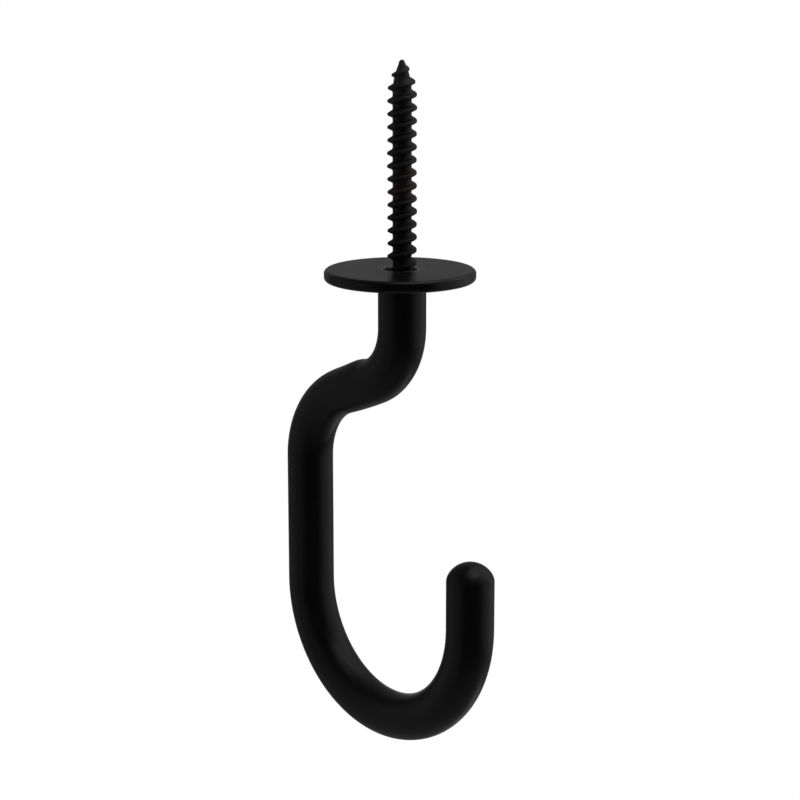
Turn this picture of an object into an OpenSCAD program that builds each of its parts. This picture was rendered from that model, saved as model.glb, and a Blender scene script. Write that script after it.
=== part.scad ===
// Ceiling hook: a bent round bar, a loose cover disc and a hanger screw.
// Millimetres, +Z up. The origin is where the screw's axis meets the ceiling,
// which is the plane of the disc's upper face. The bar bends in the XZ plane,
// and the hook opens towards +X.

/* [Bar] */
// Diameter of the round bar with its coat
bar_d = 8.2; // [7.5:0.1:10]
// Rounding of the bar's upper end, under the disc
bar_end_r = 0.4; // [0.2:0.1:0.8]
// Straight neck from the disc to the first bend
neck_length = 8.1; // [4:0.1:16]
// Centre-line radius of the bend below the neck
neck_bend_r = 11.2; // [8:0.1:18]
// Angle through which that bend turns the bar
neck_angle = 66.6; // [45:0.1:80]
// Centre-line radius of the almost straight arm between the upper bends
arm_bow_r = 100; // [40:5:300]
// Angle through which the arm goes on turning
arm_bow_angle = 4.8; // [2:0.1:10]
// Centre-line radius of the bend above the shank
shoulder_bend_r = 14.4; // [8:0.1:20]
// Straight shank from the upper bends down to the bowl
shank_length = 22.6; // [10:0.1:40]
// Clear width inside the half-round bowl
bowl_width = 33.1; // [20:0.1:50]
// Straight rise of the bar's free end above the bowl
tip_rise = 8.5; // [4:0.1:20]
// Height of the dome on the free end
tip_dome = 3.4; // [3:0.1:3.7]
// Radius at the dome's shoulder, where it leaves the bar
tip_shoulder_r = 2.5; // [1.5:0.1:2.8]

/* [Disc] */
// Diameter of the cover disc
disc_d = 25.7; // [20:0.1:40]
// Thickness of the cover disc
disc_thickness = 2; // [1.5:0.1:4]
// Rounding of the disc's outer edges
disc_edge_r = 0.45; // [0.1:0.05:0.6]
// Diameter of the disc's loose centre hole
disc_hole_d = 5.8; // [5.4:0.1:7]
// Rounding of the hole's edges
hole_edge_r = 0.2; // [0.1:0.05:0.5]
// Room left between the slipped disc and the thread's crest
slip_gap = 0.05; // [0.05:0.05:0.2]
// Direction in which the loose disc has slipped
slip_direction = 225; // [0:5:355]

/* [Screw] */
// Length of wood screw that stands above the disc
screw_length = 34.9; // [20:0.1:60]
// Diameter over the thread's crests
thread_d = 5; // [4.5:0.1:5.2]
// Diameter of the core between the turns
core_d = 3.2; // [2.6:0.1:3.6]
// Rise of the thread in one turn
thread_pitch = 2.16; // [1.8:0.01:3]
// Width of the thread's crest
crest_width = 0.12; // [0.08:0.02:0.3]
// Axial length of the flank that faces the point
point_flank = 0.6; // [0.4:0.05:0.8]
// Axial length of the flank that faces the disc
disc_flank = 0.55; // [0.3:0.05:0.7]
// Angle at which the crest passes the ceiling's plane
thread_start = -130; // [-180:5:180]
// Length over which the core narrows to the point
point_length = 5.4; // [3:0.1:8]
// Length from the point over which the thread grows to full height
thread_growth = 5.8; // [3:0.1:8]
// Radius of the blunt tip
point_r = 0.25; // [0.15:0.05:0.4]
// Diameter of the fixing end that sits in the bar
fixing_d = 5; // [4:0.5:5.5]
// Length of the fixing end that sits in the bar
fixing_length = 7.5; // [5:0.5:12]
// Room round the fixing end in the bar's hole
fixing_gap = 0.05; // [0.02:0.01:0.1]
// Depth of the bar's hole past the fixing end
drill_room = 0.6; // [0.3:0.1:1.5]

/* [Hidden] */
$fn = 64;

// Bar and dome
bar_r = bar_d / 2;
bowl_bend_r = bowl_width / 2 + bar_r;
half_turn = 180;
bar_top = -disc_thickness;
slope_angle = neck_angle + arm_bow_angle;
neck_centre = [-neck_bend_r, 0, bar_top - neck_length];
arm_centre = round_from(neck_centre, neck_bend_r - arm_bow_r, -neck_angle);
shoulder_centre = round_from(arm_centre, arm_bow_r + shoulder_bend_r, -slope_angle);
shank_top = round_from(shoulder_centre, shoulder_bend_r, half_turn);
bowl_centre = shank_top + [bowl_bend_r, 0, -shank_length];
dome_base = bowl_centre + [bowl_bend_r, 0, tip_rise];
shoulder_x = bar_r - tip_shoulder_r;
crown_r = (pow(shoulder_x, 2) + pow(tip_dome, 2) - pow(tip_shoulder_r, 2))
        / (2 * (tip_dome - tip_shoulder_r));
crown_drop = crown_r - tip_dome;
hole_r = fixing_d / 2 + fixing_gap;
hole_depth = fixing_length + drill_room;
cut_past = 1;

// Disc
disc_r = disc_d / 2;
disc_hole_r = disc_hole_d / 2;
disc_slip = (disc_hole_d - thread_d) / 2 - slip_gap;

// Screw
core_r = core_d / 2;
thread_r = thread_d / 2;
thread_bottom = -disc_thickness / 2;
run_out = disc_thickness / 2;
thin_start = 0.14;
turn_sides = 24;
section_corners = len(thread_section(0));
thread_top = screw_length - 2 * point_r;
last_step = floor((thread_top - thread_bottom) / thread_pitch * turn_sides);

black_coat = [0.11, 0.11, 0.12];
black_oxide = [0.13, 0.12, 0.12];

// Share of full size that a taper has reached at a distance from its small end
function grown(distance, length) = 1 - pow(1 - min(1, max(0, distance / length)), 2);

// Radius of the core and of the thread's crest at a height
function core_r_at(z) = point_r + (core_r - point_r) * grown(screw_length - z, point_length);
function full_crest_at(z) =
    point_r + (thread_r - point_r) * grown(screw_length - z, thread_growth);
function crest_r_at(z) =
    let (rise = max(thin_start / (thread_r - core_r), min(1, (z - thread_bottom) / run_out)))
    core_r_at(z) + (full_crest_at(z) - core_r_at(z)) * rise;

// A point of the screw at a step of the turn, a radius and a height
function on_turn(step, radius, z) =
    let (angle = thread_start + 360 * (thread_bottom / thread_pitch + step / turn_sides))
    [radius * cos(angle), radius * sin(angle), z];

// The corners of the thread's section at one step of its climb, from foot to head
function thread_section(step) =
    let (
        z = thread_bottom + thread_pitch * step / turn_sides,
        crest = crest_r_at(z),
        share = (crest - core_r_at(z)) / (thread_r - core_r),
        foot = z - crest_width / 2 - disc_flank * share,
        head = z + crest_width / 2 + point_flank * share
    )
    [
        on_turn(step, core_r_at(foot), foot),
        on_turn(step, crest, z - crest_width / 2),
        on_turn(step, crest, z + crest_width / 2),
        on_turn(step, core_r_at(head), head)
    ];

// A level ring of the core
function core_ring(z) = [for (step = [0:turn_sides - 1]) on_turn(step, core_r_at(z), z)];

// A point of the XZ plane at an angle and a radius from a centre
function round_from(centre, radius, angle) = centre + radius * [cos(angle), 0, sin(angle)];

// Moves by ever finer steps, so that joined ends meet to the last digit
module move(v) {
    coarse = [for (x = v) round(x * 1e3) / 1e3];
    fine = [for (x = v - coarse) round(x * 1e9) / 1e9];
    translate(coarse)
        translate(fine)
            translate(v - coarse - fine)
                children();
}

// A bend of the bar in the XZ plane, between two angles round its centre
module arc(centre, radius, from, to) {
    move(centre)
        rotate([90, 0, 0])
            rotate_extrude(angle = to - from, start = from)
                translate([radius, 0])
                    circle(d = bar_d);
}

// A straight upright length of bar below a point
module straight(top, length) {
    move(top)
        translate([0, 0, -length])
            cylinder(d = bar_d, h = length);
}

// The neck, with a rounded edge on the end that meets the disc
module neck() {
    translate([0, 0, bar_top])
        rotate_extrude() {
            translate([0, -neck_length])
                square([bar_r, neck_length - bar_end_r]);
            translate([0, -bar_end_r])
                square([bar_r - bar_end_r, bar_end_r]);
            intersection() {
                translate([bar_r - bar_end_r, -bar_end_r])
                    circle(bar_end_r);
                translate([bar_r - bar_end_r, -bar_end_r])
                    square(bar_end_r);
            }
        }
}

// The dome on the free end: a crown that rolls over a rounded shoulder into the bar
module dome() {
    shoulder_reach = 2 * crown_r / (crown_r - tip_shoulder_r);
    move(dome_base)
        rotate_extrude()
            intersection() {
                square([bar_r, tip_dome]);
                union() {
                    translate([shoulder_x, 0])
                        circle(tip_shoulder_r);
                    intersection() {
                        translate([0, -crown_drop])
                            circle(crown_r);
                        translate([0, -crown_drop])
                            polygon([[0, 0], [shoulder_x, crown_drop] * shoulder_reach, [0, 2 * crown_r]]);
                    }
                }
            }
}

// The disc's section to one side of its axis, with all four edges rounded
module disc_section() {
    flat_from = disc_hole_r + hole_edge_r;
    flat_to = disc_r - disc_edge_r;
    translate([flat_from, 0])
        square([flat_to - flat_from, disc_thickness]);
    translate([disc_hole_r, hole_edge_r])
        square([hole_edge_r, disc_thickness - 2 * hole_edge_r]);
    translate([flat_to, disc_edge_r])
        square([disc_edge_r, disc_thickness - 2 * disc_edge_r]);
    for (y = [hole_edge_r, disc_thickness - hole_edge_r])
        translate([flat_from, y])
            circle(hole_edge_r);
    for (y = [disc_edge_r, disc_thickness - disc_edge_r])
        translate([flat_to, y])
            circle(disc_edge_r);
}

// Two triangles between a lower and an upper pair of points, each from left to right
function panel(low, low_right, up, up_right) = [[low, up, low_right], [up, up_right, low_right]];

// The wood screw: a ridge that winds up the core, valleys between its turns, and closed ends
module wood_screw() {
    foot = 0;
    head = section_corners - 1;
    ring_start = (last_step + 1) * section_corners;
    function at(step, corner) = step * section_corners + corner;
    function ring(level, step) = ring_start + level * turn_sides + step % turn_sides;

    sections = [for (step = [0:last_step]) each thread_section(step)];
    rings = [for (z = [-disc_thickness, screw_length - point_r, screw_length]) each core_ring(z)];
    bottom = 0;
    shoulder = bottom + 1;
    tip = shoulder + 1;

    ridge = [
        for (step = [0:last_step - 1], corner = [foot:head - 1])
            each panel(at(step, corner), at(step + 1, corner), at(step, corner + 1), at(step + 1, corner + 1))
    ];
    valley = [
        for (step = [0:last_step - turn_sides - 1])
            let (above = step + turn_sides)
            each panel(at(step, head), at(step + 1, head), at(above, foot), at(above + 1, foot))
    ];
    lower_skirt = [
        for (step = [0:turn_sides - 2])
            each panel(ring(bottom, step), ring(bottom, step + 1), at(step, foot), at(step + 1, foot))
    ];
    upper_skirt = [
        for (step = [last_step - turn_sides + 1:last_step - 1])
            each panel(at(step, head), at(step + 1, head), ring(shoulder, step), ring(shoulder, step + 1))
    ];
    point = [
        for (step = [0:turn_sides - 1])
            each panel(ring(shoulder, step), ring(shoulder, step + 1), ring(tip, step), ring(tip, step + 1))
    ];

    // Where the ridge begins and ends, the skirts close against its two end faces
    begin_left = turn_sides - 1;
    begin_seam = [
        [ring(bottom, begin_left), at(0, foot), ring(bottom, 0)],
        [ring(bottom, begin_left), at(0, head), at(0, foot)],
        [ring(bottom, begin_left), at(turn_sides, foot), at(0, head)],
        [ring(bottom, begin_left), at(begin_left, foot), at(turn_sides, foot)],
        [for (corner = [head:-1:foot]) at(0, corner)]
    ];
    end_left = last_step - turn_sides;
    end_right = at(end_left + 1, head);
    end_seam = [
        [at(end_left, head), at(last_step, foot), end_right],
        [at(last_step, foot), at(last_step, head), end_right],
        [at(last_step, head), ring(shoulder, end_left), end_right],
        [ring(shoulder, end_left), ring(shoulder, end_left + 1), end_right],
        [for (corner = [foot:head]) at(last_step, corner)]
    ];
    caps = [
        [for (step = [0:turn_sides - 1]) ring(bottom, step)],
        [for (step = [turn_sides - 1:-1:0]) ring(tip, step)]
    ];
    polyhedron(
        concat(sections, rings),
        concat(ridge, valley, lower_skirt, upper_skirt, point, begin_seam, end_seam, caps)
    );
}

// The plain fixing end that sits in the bar
module fixing_end() {
    translate([0, 0, -disc_thickness - fixing_length])
        cylinder(d = fixing_d, h = fixing_length);
}

module hook_rod() {
    color(black_coat)
        difference() {
            union() {
                neck();
                arc(neck_centre, neck_bend_r, -neck_angle, 0);
                arc(arm_centre, arm_bow_r, -slope_angle, -neck_angle);
                arc(shoulder_centre, shoulder_bend_r, half_turn - slope_angle, half_turn);
                straight(shank_top, shank_length);
                arc(bowl_centre, bowl_bend_r, half_turn, 2 * half_turn);
                straight(dome_base, tip_rise);
                dome();
            }
            translate([0, 0, bar_top - hole_depth])
                cylinder(r = hole_r, h = hole_depth + cut_past);
        }
}

module ceiling_disc() {
    color(black_coat)
        translate([disc_slip * cos(slip_direction), disc_slip * sin(slip_direction), -disc_thickness])
            rotate_extrude()
                disc_section();
}

module hanger_screw() {
    color(black_oxide)
        union() {
            wood_screw();
            fixing_end();
        }
}

hook_rod();
ceiling_disc();
hanger_screw();
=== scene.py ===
"""Looks of a black ceiling hook: a bent bar, a loose cover disc and a wood screw.

Metres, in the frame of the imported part: +Z up along the screw, the ceiling at
z = 0, and the bar bent in the XZ plane.
"""

import math

import bmesh
import bpy
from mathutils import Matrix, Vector


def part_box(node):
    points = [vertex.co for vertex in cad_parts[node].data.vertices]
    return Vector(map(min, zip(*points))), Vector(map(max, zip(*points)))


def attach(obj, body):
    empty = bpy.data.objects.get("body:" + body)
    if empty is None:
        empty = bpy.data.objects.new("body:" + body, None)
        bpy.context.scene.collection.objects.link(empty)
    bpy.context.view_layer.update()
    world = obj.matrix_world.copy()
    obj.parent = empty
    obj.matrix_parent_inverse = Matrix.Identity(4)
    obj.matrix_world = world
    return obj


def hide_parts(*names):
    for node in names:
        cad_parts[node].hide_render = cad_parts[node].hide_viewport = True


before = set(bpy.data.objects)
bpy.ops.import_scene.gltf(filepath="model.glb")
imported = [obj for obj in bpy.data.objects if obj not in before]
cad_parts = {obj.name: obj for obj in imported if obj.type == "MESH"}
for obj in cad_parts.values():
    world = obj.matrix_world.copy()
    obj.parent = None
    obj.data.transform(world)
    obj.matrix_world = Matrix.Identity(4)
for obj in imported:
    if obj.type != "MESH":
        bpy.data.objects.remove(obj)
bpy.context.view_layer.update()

MM = 0.001

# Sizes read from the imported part

bar_low, bar_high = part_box("hook_rod")
disc_low, disc_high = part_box("ceiling_disc")
screw_low, screw_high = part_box("hanger_screw")

BAR_R = (bar_high.y - bar_low.y) / 2
BAR_TOP = bar_high.z
BOWL_BEND_R = (bar_high.x - bar_low.x) / 2 - BAR_R
BOWL_Z = bar_low.z + BAR_R + BOWL_BEND_R

DISC_CENTRE = (disc_low + disc_high) / 2
DISC_R = (disc_high.x - disc_low.x) / 2
DISC_THICKNESS = disc_high.z - disc_low.z

SCREW_TOP = screw_high.z
FIXING_BOTTOM = screw_low.z
FIXING_R = (screw_high.x - screw_low.x) / 2

# Sizes of the bends, the ends and the thread

NECK_LENGTH = 8.1 * MM
NECK_BEND_R = 11.2 * MM
NECK_ANGLE = math.radians(66.6)
ARM_BOW_R = 100 * MM
ARM_BOW_ANGLE = math.radians(4.8)
SHOULDER_BEND_R = 14.4 * MM
TIP_RISE = 8.5 * MM
TIP_DOME = 3.4 * MM
TIP_SHOULDER_R = 2.5 * MM
BAR_END_R = 0.4 * MM
FOLD_PAST_BEND = 2.9 * MM
FOLD_RISE = 2.6 * MM
FOLD_FADE = 8 * MM
FOLD_HEIGHT = 0.37 * MM
FOLD_FOOT = 0.3 * BAR_R
FIXING_GAP = 0.05 * MM
DRILL_ROOM = 0.6 * MM

DISC_EDGE_R = 0.7 * MM
DISC_HOLE_R = 2.9 * MM
HOLE_EDGE_R = 0.2 * MM
FLAT_MARGIN = 0.1 * MM

CORE_R = 1.6 * MM
THREAD_R = 2.5 * MM
THREAD_PITCH = 2.16 * MM
THREAD_START = math.radians(-130)
CREST_WIDTH = 0.26 * MM
POINT_FLANK = 0.75 * MM
DISC_FLANK = 0.55 * MM
LEAST_FLANK = 0.05
CREST_WEAR = 0.2
UNWORN_LEVEL = 0.65
WEAR_PER_TURN = 1.7
POINT_LENGTH = 5.4 * MM
THREAD_GROWTH = 5.8 * MM
POINT_R = 0.25 * MM
POINT_BLUNTNESS = 2.8
MERGE_DISTANCE = 0.001 * MM


# Small helpers


def put(tree, socket, value):
    """Links a socket to another one, or sets its own value."""
    if isinstance(value, bpy.types.NodeSocket):
        tree.links.new(value, socket)
    else:
        socket.default_value = value


def add_node(tree, kind, inputs=(), **settings):
    """A new node with its settings and inputs."""
    made = tree.nodes.new(kind)
    for name, value in settings.items():
        setattr(made, name, value)
    for name, value in dict(inputs).items():
        put(tree, made.inputs[name], value)
    return made


def calculator(tree):
    """A function that adds one maths node to the tree and returns its result."""

    def calc(operation, *values):
        made = tree.nodes.new("ShaderNodeMath")
        made.operation = operation
        for socket, value in zip(made.inputs, values):
            put(tree, socket, value)
        return made.outputs[0]

    return calc


def spread(tree, value, low, high, to_low=0.0, to_high=1.0):
    """Maps a range of a value onto another range, held at its ends."""
    inputs = {"Value": value, "From Min": low, "From Max": high, "To Min": to_low, "To Max": to_high}
    return add_node(tree, "ShaderNodeMapRange", inputs).outputs[0]


def eased(tree, share):
    """A share from 0 to 1 that sets off and arrives gently."""
    calc = calculator(tree)
    return calc("MULTIPLY", calc("MULTIPLY", share, share), calc("MULTIPLY_ADD", share, -2.0, 3.0))


def geometry_tree(name, sockets):
    """A Geometry Nodes tree with a mesh in, a mesh out and named inputs for its sizes."""
    tree = bpy.data.node_groups.new(name, "GeometryNodeTree")
    tree.interface.new_socket("Geometry", in_out="INPUT", socket_type="NodeSocketGeometry")
    tree.interface.new_socket("Geometry", in_out="OUTPUT", socket_type="NodeSocketGeometry")
    for socket, kind in sockets.items():
        tree.interface.new_socket(socket, in_out="INPUT", socket_type="NodeSocket" + kind)
    return tree, tree.nodes.new("NodeGroupInput").outputs


def close_tree(tree, geometry, material):
    """Realizes, smooths and paints what the tree made, and sends it out."""
    real = add_node(tree, "GeometryNodeRealizeInstances", {"Geometry": geometry})
    smooth = add_node(tree, "GeometryNodeSetShadeSmooth", {"Geometry": real.outputs[0]})
    painted = add_node(
        tree, "GeometryNodeSetMaterial", {"Geometry": smooth.outputs[0], "Material": material}
    )
    tree.links.new(painted.outputs[0], tree.nodes.new("NodeGroupOutput").inputs[0])


def grown(obj, tree, values):
    """Runs a tree on an object with its inputs set, and keeps the result as its plain mesh."""
    modifier = obj.modifiers.new(tree.name, "NODES")
    modifier.node_group = tree
    for item in tree.interface.items_tree:
        if item.in_out == "INPUT" and item.name in values:
            modifier[item.identifier] = values[item.name]
    depsgraph = bpy.context.evaluated_depsgraph_get()
    mesh = bpy.data.meshes.new_from_object(obj.evaluated_get(depsgraph))
    obj.modifiers.remove(modifier)
    obj.data = mesh
    return obj


def new_object(name, data):
    """An object at the origin that shows this mesh or curve."""
    made = bpy.data.objects.new(name, data)
    bpy.context.scene.collection.objects.link(made)
    return made


# Turned forms


def arc(centre, radius, start, end, count):
    """Points on a round stretch of a section, between two angles in degrees."""
    angles = [math.radians(start + (end - start) * i / count) for i in range(count + 1)]
    return [(centre[0] + radius * math.cos(a), centre[1] + radius * math.sin(a)) for a in angles]


def turned(name, section, sides, closed=False):
    """Turns a section of (radius, height) points round the Z axis into a smooth mesh."""
    bm = bmesh.new()
    rows = []
    for radius, height in section:
        # A point on the axis is one vertex for all sides, and its faces are triangles
        if radius == 0:
            rows.append([bm.verts.new((0, 0, height))] * sides)
            continue
        angles = [2 * math.pi * i / sides for i in range(sides)]
        rows.append(
            [bm.verts.new((radius * math.cos(a), radius * math.sin(a), height)) for a in angles]
        )
    pairs = list(zip(rows, rows[1:]))
    if closed:
        pairs.append((rows[-1], rows[0]))
    for lower, upper in pairs:
        for i in range(sides):
            j = (i + 1) % sides
            corners = dict.fromkeys([lower[i], lower[j], upper[j], upper[i]])
            bm.faces.new(list(corners))
    bmesh.ops.recalc_face_normals(bm, faces=bm.faces)
    mesh = bpy.data.meshes.new(name)
    bm.to_mesh(mesh)
    bm.free()
    mesh.shade_smooth()
    return new_object(name, mesh)


# The bent bar


def bar_runs():
    """The bar's straight lengths and bends in order, each as a length and the angle it turns."""
    slope = NECK_ANGLE + ARM_BOW_ANGLE
    neck_x = -NECK_BEND_R
    neck_z = BAR_TOP - NECK_LENGTH
    arm_z = neck_z + (ARM_BOW_R - NECK_BEND_R) * math.sin(NECK_ANGLE)
    shoulder_z = arm_z - (ARM_BOW_R + SHOULDER_BEND_R) * math.sin(slope)
    return [
        (NECK_LENGTH, 0),
        (NECK_BEND_R * NECK_ANGLE, NECK_ANGLE),
        (ARM_BOW_R * ARM_BOW_ANGLE, ARM_BOW_ANGLE),
        (SHOULDER_BEND_R * slope, -slope),
        (shoulder_z - BOWL_Z, 0),
        (BOWL_BEND_R * math.pi, -math.pi),
        (TIP_RISE + TIP_DOME, 0),
    ]


def bar_rail(step):
    """The bar's centre line, walked in short chords from its upper end to the top of its dome."""
    point = Vector((0, 0, BAR_TOP))
    heading = 0
    points = [point.copy()]
    for length, turn in bar_runs():
        count = max(1, math.ceil(length / step))
        half = turn / count / 2
        chord = length / count * (math.sin(half) / half if half else 1)
        for _ in range(count):
            heading += half
            point += chord * Vector((-math.sin(heading), 0, -math.cos(heading)))
            heading += half
            points.append(point.copy())
    return points


def rail_curve(points):
    """A curve object through the points of a rail."""
    curve = bpy.data.curves.new("bar_rail", "CURVE")
    curve.dimensions = "3D"
    spline = curve.splines.new("POLY")
    spline.points.add(len(points) - 1)
    for place, point in zip(spline.points, points):
        place.co = (*point, 1)
    return new_object("bar_rail", curve)


def straight_bar(length, row_step, sides):
    """The bar before it is bent: cut, rounded, drilled for the screw and domed, along +Z."""
    hole_r = FIXING_R + FIXING_GAP
    hole_depth = BAR_TOP - FIXING_BOTTOM + DRILL_ROOM
    dome_base = length - TIP_DOME
    shoulder_x = BAR_R - TIP_SHOULDER_R
    crown_r = (shoulder_x**2 + TIP_DOME**2 - TIP_SHOULDER_R**2) / (2 * (TIP_DOME - TIP_SHOULDER_R))
    crown_centre = length - crown_r
    meet = math.degrees(math.atan2(dome_base - crown_centre, shoulder_x))
    rows = math.ceil((dome_base - BAR_END_R) / row_step)
    plain = [BAR_END_R + (dome_base - BAR_END_R) * i / rows for i in range(1, rows)]
    section = [(0, hole_depth), (hole_r, hole_depth), (hole_r, 0)]
    section += arc((BAR_R - BAR_END_R, BAR_END_R), BAR_END_R, -90, 0, count=8)
    section += [(BAR_R, height) for height in plain]
    section += arc((shoulder_x, dome_base), TIP_SHOULDER_R, 0, meet, count=12)
    section += arc((0, crown_centre), crown_r, meet, 90, count=16)[1:-1]
    section += [(0, length)]
    return turned("bent_bar", section, sides)


def bending_tree():
    """Bends a straight bar that lies along +Z so that its axis follows a rail in the XZ plane."""
    sizes = ["Bar radius", "Fold place", "Fold rise", "Fold fade", "Fold foot", "Fold height"]
    sockets = {name: "Float" for name in sizes}
    sockets.update({"Rail": "Object", "Finish": "Material"})
    tree, given = geometry_tree("bend_along_rail", sockets)
    calc = calculator(tree)
    rail = add_node(tree, "GeometryNodeObjectInfo", {"Object": given["Rail"]})
    place = tree.nodes.new("GeometryNodeInputPosition").outputs[0]
    parts = add_node(tree, "ShaderNodeSeparateXYZ", {"Vector": place}).outputs
    on_rail = add_node(
        tree,
        "GeometryNodeSampleCurve",
        {"Curves": rail.outputs["Geometry"], "Length": parts["Z"]},
        mode="LENGTH",
    ).outputs

    # On the inside of the first bend the metal gathers in a low fold, steep towards the neck
    past_fold = calc("SUBTRACT", parts["Z"], given["Fold place"])
    before = spread(tree, past_fold, calc("MULTIPLY", given["Fold rise"], -1.0), 0.0)
    after = spread(tree, past_fold, 0.0, given["Fold fade"], 1.0, 0.0)
    inside = spread(tree, parts["X"], given["Fold foot"], given["Bar radius"])
    fold = calc("MULTIPLY", eased(tree, calc("MINIMUM", before, after)), eased(tree, inside))
    gain = calc("DIVIDE", given["Fold height"], given["Bar radius"])
    swell = calc("MULTIPLY_ADD", fold, gain, 1.0)

    across = (0, 1, 0)
    inward = add_node(
        tree, "ShaderNodeVectorMath", {0: across, 1: on_rail["Tangent"]}, operation="CROSS_PRODUCT"
    )
    in_plane = add_node(
        tree,
        "ShaderNodeVectorMath",
        {0: inward.outputs[0], "Scale": calc("MULTIPLY", parts["X"], swell)},
        operation="SCALE",
    )
    off_plane = add_node(
        tree,
        "ShaderNodeVectorMath",
        {0: across, "Scale": calc("MULTIPLY", parts["Y"], swell)},
        operation="SCALE",
    )
    offset = add_node(
        tree, "ShaderNodeVectorMath", {0: in_plane.outputs[0], 1: off_plane.outputs[0]}, operation="ADD"
    )
    bent = add_node(
        tree,
        "GeometryNodeSetPosition",
        {"Geometry": given["Geometry"], "Position": on_rail["Position"], "Offset": offset.outputs[0]},
    )
    close_tree(tree, bent.outputs[0], given["Finish"])
    return tree


def make_bar(finish):
    """The round bar, turned straight and then bent along its rail."""
    points = bar_rail(step=0.25 * MM)
    length = sum((b - a).length for a, b in zip(points, points[1:]))
    rail = rail_curve(points)
    bar = straight_bar(length, row_step=0.5 * MM, sides=96)
    values = {
        "Bar radius": BAR_R,
        "Fold place": NECK_LENGTH + NECK_BEND_R * NECK_ANGLE + FOLD_PAST_BEND,
        "Fold rise": FOLD_RISE,
        "Fold fade": FOLD_FADE,
        "Fold foot": FOLD_FOOT,
        "Fold height": FOLD_HEIGHT,
        "Rail": rail,
        "Finish": finish,
    }
    grown(bar, bending_tree(), values)
    bpy.data.objects.remove(rail)
    return bar


# The loose cover disc


def make_disc(finish):
    """The cover disc with round edges, moved to where it has slipped on the screw."""
    bottom, top = -DISC_THICKNESS / 2, DISC_THICKNESS / 2
    rim, wall = DISC_R - DISC_EDGE_R, DISC_HOLE_R + HOLE_EDGE_R
    section = arc((rim, bottom + DISC_EDGE_R), DISC_EDGE_R, -90, 0, count=8)
    section += arc((rim, top - DISC_EDGE_R), DISC_EDGE_R, 0, 90, count=8)
    section += [(rim - FLAT_MARGIN, top), (wall + FLAT_MARGIN, top)]
    section += arc((wall, top - HOLE_EDGE_R), HOLE_EDGE_R, 90, 180, count=6)
    section += arc((wall, bottom + HOLE_EDGE_R), HOLE_EDGE_R, 180, 270, count=6)
    section += [(wall + FLAT_MARGIN, bottom), (rim - FLAT_MARGIN, bottom)]
    disc = turned("cover_disc", section, sides=192, closed=True)
    for vertex in disc.data.vertices:
        vertex.co += DISC_CENTRE
    disc.data.materials.append(finish)
    return disc


# The wood screw


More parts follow.
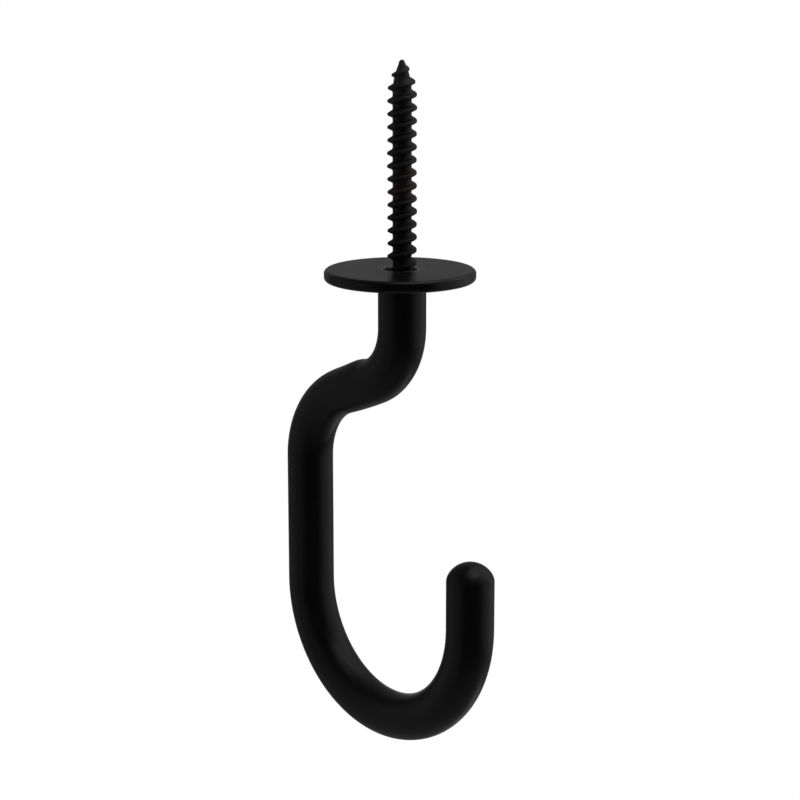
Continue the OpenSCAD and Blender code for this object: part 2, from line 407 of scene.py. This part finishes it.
def thread_tree():
    """Winds a strip, one pitch wide, up the screw: valley, flank, crest, flank and valley."""
    sizes = [
        "Core radius", "Thread radius", "Pitch", "Start angle", "Crest width", "Upper flank",
        "Lower flank", "Point length", "Growth length", "Point radius", "Bottom", "Top",
        "First turn", "Turns", "Run-out", "Unevenness",
    ]
    sockets = {name: "Float" for name in sizes}
    sockets.update({"Steps": "Int", "Columns": "Int", "Finish": "Material"})
    tree, given = geometry_tree("wood_thread", sockets)
    calc = calculator(tree)

    def clamped(value, low=0.0, high=1.0):
        """A value held between two limits."""
        return calc("MINIMUM", calc("MAXIMUM", value, low), high)

    def swelling(distance, length):
        """From 0 at a distance of 0 to 1 at the given length, ever more slowly."""
        short = calc("SUBTRACT", 1.0, clamped(calc("DIVIDE", distance, length)))
        return calc("SUBTRACT", 1.0, calc("MULTIPLY", short, short))

    def tapered(full, distance, length):
        """A radius that narrows from full size to the point's radius."""
        gain = calc("SUBTRACT", full, given["Point radius"])
        return calc("MULTIPLY_ADD", gain, swelling(distance, length), given["Point radius"])

    def core_at(height):
        """Radius of the core, with a round end on the point."""
        left = calc("MAXIMUM", calc("SUBTRACT", given["Top"], height), 0.0)
        cap = calc("MULTIPLY", left, calc("MULTIPLY", given["Point radius"], POINT_BLUNTNESS))
        cap = calc("SQRT", cap)
        return calc("MINIMUM", tapered(given["Core radius"], left, given["Point length"]), cap)

    strip = add_node(
        tree,
        "GeometryNodeMeshGrid",
        {
            "Size X": 1.0,
            "Size Y": 2.0,
            "Vertices X": calc("ADD", given["Steps"], 1.0),
            "Vertices Y": calc("ADD", given["Columns"], 1.0),
        },
    )
    place = tree.nodes.new("GeometryNodeInputPosition").outputs[0]
    parts = add_node(tree, "ShaderNodeSeparateXYZ", {"Vector": place}).outputs

    # Along the strip the turn counts up, and across it the columns crowd at the crest
    share = calc("ADD", parts["X"], 0.5)
    turn = calc("MULTIPLY_ADD", share, given["Turns"], given["First turn"])
    crest_height = calc("MULTIPLY", turn, given["Pitch"])
    across = calc("MULTIPLY", parts["Y"], calc("ABSOLUTE", parts["Y"]))
    off_crest = calc("MULTIPLY", across, calc("MULTIPLY", given["Pitch"], 0.5))
    height = calc("ADD", crest_height, off_crest)
    height = clamped(height, given["Bottom"], given["Top"])

    # The thread rises out of the core inside the disc's hole, wears unevenly and fades at the point
    to_tip = calc("SUBTRACT", given["Top"], crest_height)
    crest = tapered(given["Thread radius"], to_tip, given["Growth length"])
    rise = calc("MAXIMUM", calc("SUBTRACT", crest, core_at(crest_height)), 0.0)
    fade_in = clamped(calc("DIVIDE", calc("SUBTRACT", crest_height, given["Run-out"]), given["Pitch"]))
    fade_out = clamped(calc("DIVIDE", to_tip, calc("MULTIPLY", given["Point radius"], 2.0)))
    noise = add_node(
        tree,
        "ShaderNodeTexNoise",
        {"W": turn, "Scale": WEAR_PER_TURN, "Detail": 3.0},
        noise_dimensions="1D",
    ).outputs[0]
    kept = calc("MULTIPLY_ADD", calc("SUBTRACT", noise, UNWORN_LEVEL), given["Unevenness"], 1.0)
    rise = calc("MULTIPLY", rise, calc("MULTIPLY", kept, calc("MULTIPLY", fade_in, fade_out)))

    # Flanks run from a round crest down into a hollow root, steeper on the side of the disc
    full_rise = calc("SUBTRACT", given["Thread radius"], given["Core radius"])
    flank_share = calc("MAXIMUM", calc("DIVIDE", rise, full_rise), LEAST_FLANK)
    is_upper = calc("GREATER_THAN", off_crest, 0.0)
    flank_gain = calc("SUBTRACT", given["Upper flank"], given["Lower flank"])
    flank = calc("MULTIPLY_ADD", flank_gain, is_upper, given["Lower flank"])
    down = calc("SUBTRACT", calc("ABSOLUTE", off_crest), calc("MULTIPLY", given["Crest width"], 0.5))
    down = clamped(calc("DIVIDE", down, calc("MULTIPLY", flank, flank_share)))
    slope = eased(tree, calc("SUBTRACT", 1.0, down))
    radius = calc("MULTIPLY_ADD", rise, slope, core_at(height))

    angle = calc("MULTIPLY_ADD", turn, 2 * math.pi, given["Start angle"])
    wound = add_node(
        tree,
        "ShaderNodeCombineXYZ",
        {
            "X": calc("MULTIPLY", radius, calc("COSINE", angle)),
            "Y": calc("MULTIPLY", radius, calc("SINE", angle)),
            "Z": height,
        },
    )
    thread = add_node(
        tree, "GeometryNodeSetPosition", {"Geometry": strip.outputs[0], "Position": wound.outputs[0]}
    )
    merged = add_node(
        tree, "GeometryNodeMergeByDistance", {"Geometry": thread.outputs[0], "Distance": MERGE_DISTANCE}
    )
    close_tree(tree, merged.outputs[0], given["Finish"])
    return tree


def add_fixing_end(mesh):
    """Closes the screw's open foot with the plain end that sits in the bar."""
    bm = bmesh.new()
    bm.from_mesh(mesh)
    bmesh.ops.dissolve_degenerate(bm, dist=MERGE_DISTANCE, edges=bm.edges)
    ring = [edge for edge in bm.edges if edge.is_boundary and edge.verts[0].co.z < 0]
    for height in (BAR_TOP, FIXING_BOTTOM):
        grown_ring = bmesh.ops.extrude_edge_only(bm, edges=ring)["geom"]
        for vertex in [item for item in grown_ring if isinstance(item, bmesh.types.BMVert)]:
            flat = vertex.co.xy.normalized() * FIXING_R
            vertex.co = (*flat, height)
        edges = [item for item in grown_ring if isinstance(item, bmesh.types.BMEdge)]
        ring = [edge for edge in edges if edge.is_boundary]
    bmesh.ops.edgeloop_fill(bm, edges=ring)
    bmesh.ops.recalc_face_normals(bm, faces=bm.faces)
    bm.to_mesh(mesh)
    bm.free()


def make_screw(finish):
    """The wood screw: a wound thread with a gimlet point, and a plain end in the bar."""
    steps_per_turn = 64

    # The strip reaches half a pitch to either side of its crest, and past both ends of the screw
    first_turn = math.floor(BAR_TOP / THREAD_PITCH - 0.5)
    turns = math.ceil(SCREW_TOP / THREAD_PITCH + 0.5) - first_turn
    screw = new_object("wood_screw", bpy.data.meshes.new("wood_screw"))
    values = {
        "Core radius": CORE_R,
        "Thread radius": THREAD_R,
        "Pitch": THREAD_PITCH,
        "Start angle": THREAD_START,
        "Crest width": CREST_WIDTH,
        "Upper flank": POINT_FLANK,
        "Lower flank": DISC_FLANK,
        "Point length": POINT_LENGTH,
        "Growth length": THREAD_GROWTH,
        "Point radius": POINT_R,
        "Bottom": BAR_TOP,
        "Top": SCREW_TOP,
        "First turn": float(first_turn),
        "Turns": float(turns),
        "Run-out": -DISC_THICKNESS / 2,
        "Unevenness": CREST_WEAR,
        "Steps": turns * steps_per_turn,
        "Columns": 24,
        "Finish": finish,
    }
    grown(screw, thread_tree(), values)
    add_fixing_end(screw.data)
    screw.data.materials.clear()
    screw.data.materials.append(finish)
    return screw


# Finishes

COAT_DEEP = (0.001, 0.001, 0.0011)
COAT_PALE = (0.0018, 0.0018, 0.0018)
# Pale ring on the hole's edge: partly rubbed coat, partly a painted highlight of the rounded edge
COAT_RUBBED_AND_HIGHLIGHT = (0.2, 0.195, 0.19)
RUBBED_HIGHLIGHT_WIDTH = 0.5 * MM

# The screw's deepest colour is painted shade near the disc, lifting to the paler colour towards the point
SCREW_PAINTED_SHADE = (0.0005, 0.0005, 0.0007)
SCREW_PALE = (0.0032, 0.003, 0.0028)
SCREW_BARE = (0.011, 0.0107, 0.0104)
SCREW_RUBBED = (0.012, 0.011, 0.011)
PALER_FROM = 2 * MM
BARE_FROM = SCREW_TOP - POINT_LENGTH - 2 * MM
RUBBED_R = 0.93 * THREAD_R
DULL_TOP = 12 * MM
DULL_GAIN = 0.16

BROWN_TINT = (0.008, 0.0032, 0.0016)
BROWN_HEIGHT = 14.5 * MM
BLUE_TINT = (0.0006, 0.0006, 0.0035)
BLUE_HEIGHT = 5 * MM
TINT_FULL = 1.5 * MM
TINT_END = 5 * MM

LOW_SHINE = 0.2


def grain_group():
    """Shared grain of the finishes: a bumped normal, fine grain and wide patches, both from 0 to 1."""
    group = bpy.data.node_groups.new("fine_grain", "ShaderNodeTree")
    for name in ("Grain size", "Grain depth", "Patch size"):
        group.interface.new_socket(name, in_out="INPUT", socket_type="NodeSocketFloat")
    group.interface.new_socket("Normal", in_out="OUTPUT", socket_type="NodeSocketVector")
    for name in ("Grain", "Patches"):
        group.interface.new_socket(name, in_out="OUTPUT", socket_type="NodeSocketFloat")
    given = group.nodes.new("NodeGroupInput").outputs
    sent = group.nodes.new("NodeGroupOutput").inputs
    calc = calculator(group)
    place = group.nodes.new("ShaderNodeTexCoord").outputs["Object"]

    def noise(size, detail):
        inputs = {"Vector": place, "Scale": calc("DIVIDE", 1.0, size), "Detail": detail}
        return add_node(group, "ShaderNodeTexNoise", inputs).outputs[0]

    grain = noise(given["Grain size"], detail=2.0)
    bump = add_node(group, "ShaderNodeBump", {"Height": grain, "Distance": given["Grain depth"]})
    put(group, sent["Normal"], bump.outputs[0])
    put(group, sent["Grain"], grain)
    put(group, sent["Patches"], noise(given["Patch size"], detail=3.0))
    return group


def new_finish(name, grain_size, grain_depth, patch_size):
    """A material with the shared grain, and what is needed to colour it."""
    material = bpy.data.materials.new(name)
    material.use_nodes = True
    tree = material.node_tree
    shader = tree.nodes["Principled BSDF"].inputs
    sizes = {"Grain size": grain_size, "Grain depth": grain_depth, "Patch size": patch_size}
    grain = add_node(tree, "ShaderNodeGroup", sizes, node_tree=GRAIN)
    put(tree, shader["Normal"], grain.outputs["Normal"])
    return material, tree, shader, grain.outputs


def blend(tree, share, first, second):
    """One colour where the share is 0, another where it is 1."""
    mix = add_node(tree, "ShaderNodeMix", data_type="RGBA")
    put(tree, mix.inputs["Factor"], share)

    # The node's colour sockets come after those for numbers and vectors
    put(tree, mix.inputs[6], (*first, 1) if isinstance(first, tuple) else first)
    put(tree, mix.inputs[7], (*second, 1) if isinstance(second, tuple) else second)
    return mix.outputs[2]


def place_of(tree):
    """The three coordinates of a point in the frame of the part."""
    place = tree.nodes.new("ShaderNodeTexCoord").outputs["Object"]
    return add_node(tree, "ShaderNodeSeparateXYZ", {"Vector": place}).outputs


def radius_from(tree, centre):
    """Distance of a point from an upright axis through a centre."""
    parts = place_of(tree)
    calc = calculator(tree)
    off_x, off_y = (calc("SUBTRACT", parts[i], centre[i]) for i in (0, 1))
    return calc("SQRT", calc("MULTIPLY_ADD", off_x, off_x, calc("MULTIPLY", off_y, off_y)))


def black_coat(name, smooth, rough, rubbed_highlight_edge=None):
    """Satin black powder coat with a fine orange peel; if a hole is given, a pale ring on its edge that is
    partly rubbed coat and partly a painted highlight of the edge.
    """
    material, tree, shader, grain = new_finish(
        name, grain_size=0.5 * MM, grain_depth=0.006 * MM, patch_size=7 * MM
    )
    colour = blend(tree, grain["Patches"], COAT_DEEP, COAT_PALE)
    if rubbed_highlight_edge:
        centre, radius = rubbed_highlight_edge
        # Pale ring round the hole: partly rubbed coat, partly a painted highlight along the hole's rounded
        # edge
        at_edge = spread(tree, radius_from(tree, centre), radius, radius + RUBBED_HIGHLIGHT_WIDTH, 1.0, 0.0)
        speckles = spread(tree, grain["Grain"], low=0.35, high=0.65)
        rubbed = calculator(tree)("MULTIPLY", at_edge, speckles)
        colour = blend(tree, rubbed, colour, COAT_RUBBED_AND_HIGHLIGHT)
    put(tree, shader["Base Color"], colour)
    gloss = spread(tree, grain["Patches"], low=0.3, high=0.7, to_low=smooth, to_high=rough)
    put(tree, shader["Roughness"], gloss)
    put(tree, shader["Specular IOR Level"], LOW_SHINE)
    return material


def tint_band(tree, height, middle, patches):
    """Share of a heat tint round one height of the screw, which comes and goes with the patches."""
    calc = calculator(tree)
    away = calc("ABSOLUTE", calc("SUBTRACT", height, middle))
    near = spread(tree, away, TINT_FULL, TINT_END, 1.0, 0.0)
    return calc("MULTIPLY", near, spread(tree, patches, low=0.3, high=0.6))


def black_screw():
    """Black finished rolled steel: brown and blue heat tints, painted shade that darkens it towards the
    disc, paler at the point, rubbed on its crests.
    """
    material, tree, shader, grain = new_finish(
        "black_screw", grain_size=0.25 * MM, grain_depth=0.01 * MM, patch_size=2.5 * MM
    )
    calc = calculator(tree)
    height = place_of(tree)["Z"]
    # Painted shade: darkest near the disc, which shadows the screw, and lighter towards the point
    out_of_painted_shade = spread(tree, height, PALER_FROM, SCREW_TOP)
    colour = blend(tree, out_of_painted_shade, SCREW_PAINTED_SHADE, SCREW_PALE)
    bare = spread(tree, height, BARE_FROM, SCREW_TOP)
    colour = blend(tree, bare, colour, SCREW_BARE)
    brown = tint_band(tree, height, BROWN_HEIGHT, grain["Patches"])
    colour = blend(tree, brown, colour, BROWN_TINT)
    blue = tint_band(tree, height, BLUE_HEIGHT, grain["Patches"])
    colour = blend(tree, blue, colour, BLUE_TINT)
    crest = spread(tree, radius_from(tree, (0, 0)), RUBBED_R, THREAD_R)
    rubbed = calc("MULTIPLY", crest, spread(tree, grain["Grain"], low=0.4, high=0.7))
    put(tree, shader["Base Color"], blend(tree, rubbed, colour, SCREW_RUBBED))
    dull = spread(tree, height, PALER_FROM, DULL_TOP, DULL_GAIN, 0.0)
    gloss = spread(tree, grain["Grain"], low=0.3, high=0.7, to_low=0.38, to_high=0.54)
    put(tree, shader["Roughness"], calc("ADD", dull, gloss))
    put(tree, shader["Specular IOR Level"], LOW_SHINE)
    return material


# The object

GRAIN = grain_group()

bar = make_bar(black_coat("black_coat", smooth=0.34, rough=0.42))
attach(bar, "root")
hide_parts("hook_rod")

hole = (DISC_CENTRE, DISC_HOLE_R)
disc = make_disc(black_coat("black_coat_disc", smooth=0.27, rough=0.33, rubbed_highlight_edge=hole))
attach(disc, "root")
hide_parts("ceiling_disc")

screw = make_screw(black_screw())
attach(screw, "root")
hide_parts("hanger_screw")

# Camera, fitted to the photograph's outline

VIEW_AZIMUTH = math.radians(47.429)
VIEW_ELEVATION = math.radians(13.155)
VIEW_DISTANCE = 372.862 * MM
VIEW_DROP = -22.649 * MM
VIEW_SIDE = -0.355 * MM
SENSOR = 36.0
FOCAL_PIXELS = 2186.661
FRAME_PIXELS = 800

right = Vector((math.cos(VIEW_AZIMUTH), math.sin(VIEW_AZIMUTH), 0))
level = Vector((math.sin(VIEW_AZIMUTH), -math.cos(VIEW_AZIMUTH), 0))
up = Vector((0, 0, 1))
back = level * math.cos(VIEW_ELEVATION) + up * math.sin(VIEW_ELEVATION)
target = up * VIEW_DROP + right * VIEW_SIDE

camera_data = bpy.data.cameras.new("camera")
camera_data.sensor_width = SENSOR
camera_data.lens = SENSOR * FOCAL_PIXELS / FRAME_PIXELS
camera_data.clip_start = 1 * MM
camera = new_object("camera", camera_data)
camera.location = target + back * VIEW_DISTANCE
camera.rotation_mode = "QUATERNION"
camera.rotation_quaternion = (-back).to_track_quat("-Z", "Y")
bpy.context.scene.camera = camera

# Studio

bpy.context.scene.view_settings.view_transform = "Standard"

PLAIN_LIGHT = 0.65
BACKDROP_EDGE = math.cos(math.radians(15))
BACKDROP_FULL = math.cos(math.radians(11))
ROOM_BRIGHT = 0.21
ROOM_DARK = 0.002
DARK_LEFT = 0.35
DARK_LOW = 0.3
FLOOR_Z = -0.5
FLOOR_R = 0.5
FLOOR_GREY = 0.25
FLOOR_DIM_R = 0.1
FLOOR_DIM = 0.5
FLOOR_WHITE_R = 0.9 * FLOOR_R
MIRROR_ANGLE = 135
MIRROR_FROM = 0.28
MIRROR_FULL = 0.46
MIRROR_SHARE = 0.85
SOFTBOX_DISTANCE = 0.8


def round_view(angle, rise=0.0):
    """A direction at an angle in degrees to the right of the camera's, and a rise above the level."""
    turn = math.radians(angle)
    return level * math.cos(turn) + right * math.sin(turn) + up * rise


def make_world():
    """A white backdrop, plain light all round, and for reflections a room that is dark in front."""
    world = bpy.data.worlds.new("studio")
    bpy.context.scene.world = world
    world.use_nodes = True
    tree = world.node_tree
    shader = tree.nodes["Background"].inputs
    rays = tree.nodes.new("ShaderNodeLightPath").outputs
    calc = calculator(tree)
    sight = tree.nodes.new("ShaderNodeTexCoord").outputs["Generated"]

    def facing(direction):
        """How far a line of sight goes along a direction."""
        inputs = {0: sight, 1: direction}
        return add_node(tree, "ShaderNodeVectorMath", inputs, operation="DOT_PRODUCT").outputs["Value"]

    dark_side = level - right * DARK_LEFT - up * DARK_LOW
    room = spread(tree, facing(dark_side), low=-0.9, high=0.5, to_low=ROOM_BRIGHT, to_high=ROOM_DARK)
    backdrop = spread(tree, facing(-back), BACKDROP_EDGE, BACKDROP_FULL)
    white = calc("MAXIMUM", rays["Is Camera Ray"], rays["Is Transmission Ray"])
    white = calc("MAXIMUM", white, calc("MULTIPLY", rays["Is Glossy Ray"], backdrop))
    other = calc("MULTIPLY_ADD", rays["Is Glossy Ray"], calc("SUBTRACT", room, PLAIN_LIGHT), PLAIN_LIGHT)
    shader["Color"].default_value = (1, 1, 1, 1)
    put(tree, shader["Strength"], calc("MAXIMUM", white, other))


def make_floor():
    """A pale floor far below, which fades into the white and is mirrored from its far right only."""
    floor = turned("floor", [(0, FLOOR_Z), (FLOOR_R, FLOOR_Z)], sides=96)
    material = bpy.data.materials.new("floor")
    material.use_nodes = True
    tree = material.node_tree
    shader = tree.nodes["Principled BSDF"].inputs
    shader["Base Color"].default_value = (FLOOR_GREY, FLOOR_GREY, FLOOR_GREY, 1)
    shader["Roughness"].default_value = 0.9
    shader["Emission Color"].default_value = (1, 1, 1, 1)
    rays = tree.nodes.new("ShaderNodeLightPath").outputs
    calc = calculator(tree)
    parts = place_of(tree)
    glow = spread(tree, radius_from(tree, (0, 0)), FLOOR_DIM_R, FLOOR_WHITE_R, FLOOR_DIM, 1.0)
    far_side = round_view(MIRROR_ANGLE)
    behind = calc("MULTIPLY_ADD", parts["X"], far_side.x, calc("MULTIPLY", parts["Y"], far_side.y))
    mirror = spread(tree, behind, MIRROR_FROM, MIRROR_FULL, 0.0, MIRROR_SHARE)
    seen = calc("MAXIMUM", rays["Is Camera Ray"], calc("MULTIPLY", rays["Is Glossy Ray"], mirror))
    put(tree, shader["Emission Strength"], calc("MULTIPLY", seen, glow))
    floor.data.materials.append(material)


def softbox(name, angle, rise, size, radiance):
    """An area lamp that looks at the middle of the object from a direction round the view."""
    lamp_data = bpy.data.lights.new(name, "AREA")
    lamp_data.shape = "RECTANGLE"
    lamp_data.size, lamp_data.size_y = size
    lamp_data.energy = radiance * math.pi * size[0] * size[1]
    lamp = new_object(name, lamp_data)
    lamp.visible_camera = False
    away = round_view(angle, rise).normalized()
    lamp.location = target + away * SOFTBOX_DISTANCE
    lamp.rotation_mode = "QUATERNION"
    lamp.rotation_quaternion = (-away).to_track_quat("-Z", "Y")


make_world()
make_floor()
softbox("left_softbox", angle=-78, rise=-0.15, size=(1.2, 1.5), radiance=0.24)
softbox("right_softbox", angle=92, rise=0.12, size=(1.2, 1.2), radiance=0.52)
softbox("top_softbox", angle=50, rise=2.9, size=(0.6, 0.6), radiance=1.5)
softbox("rim_softbox", angle=120, rise=1.3, size=(0.7, 0.7), radiance=0.6)
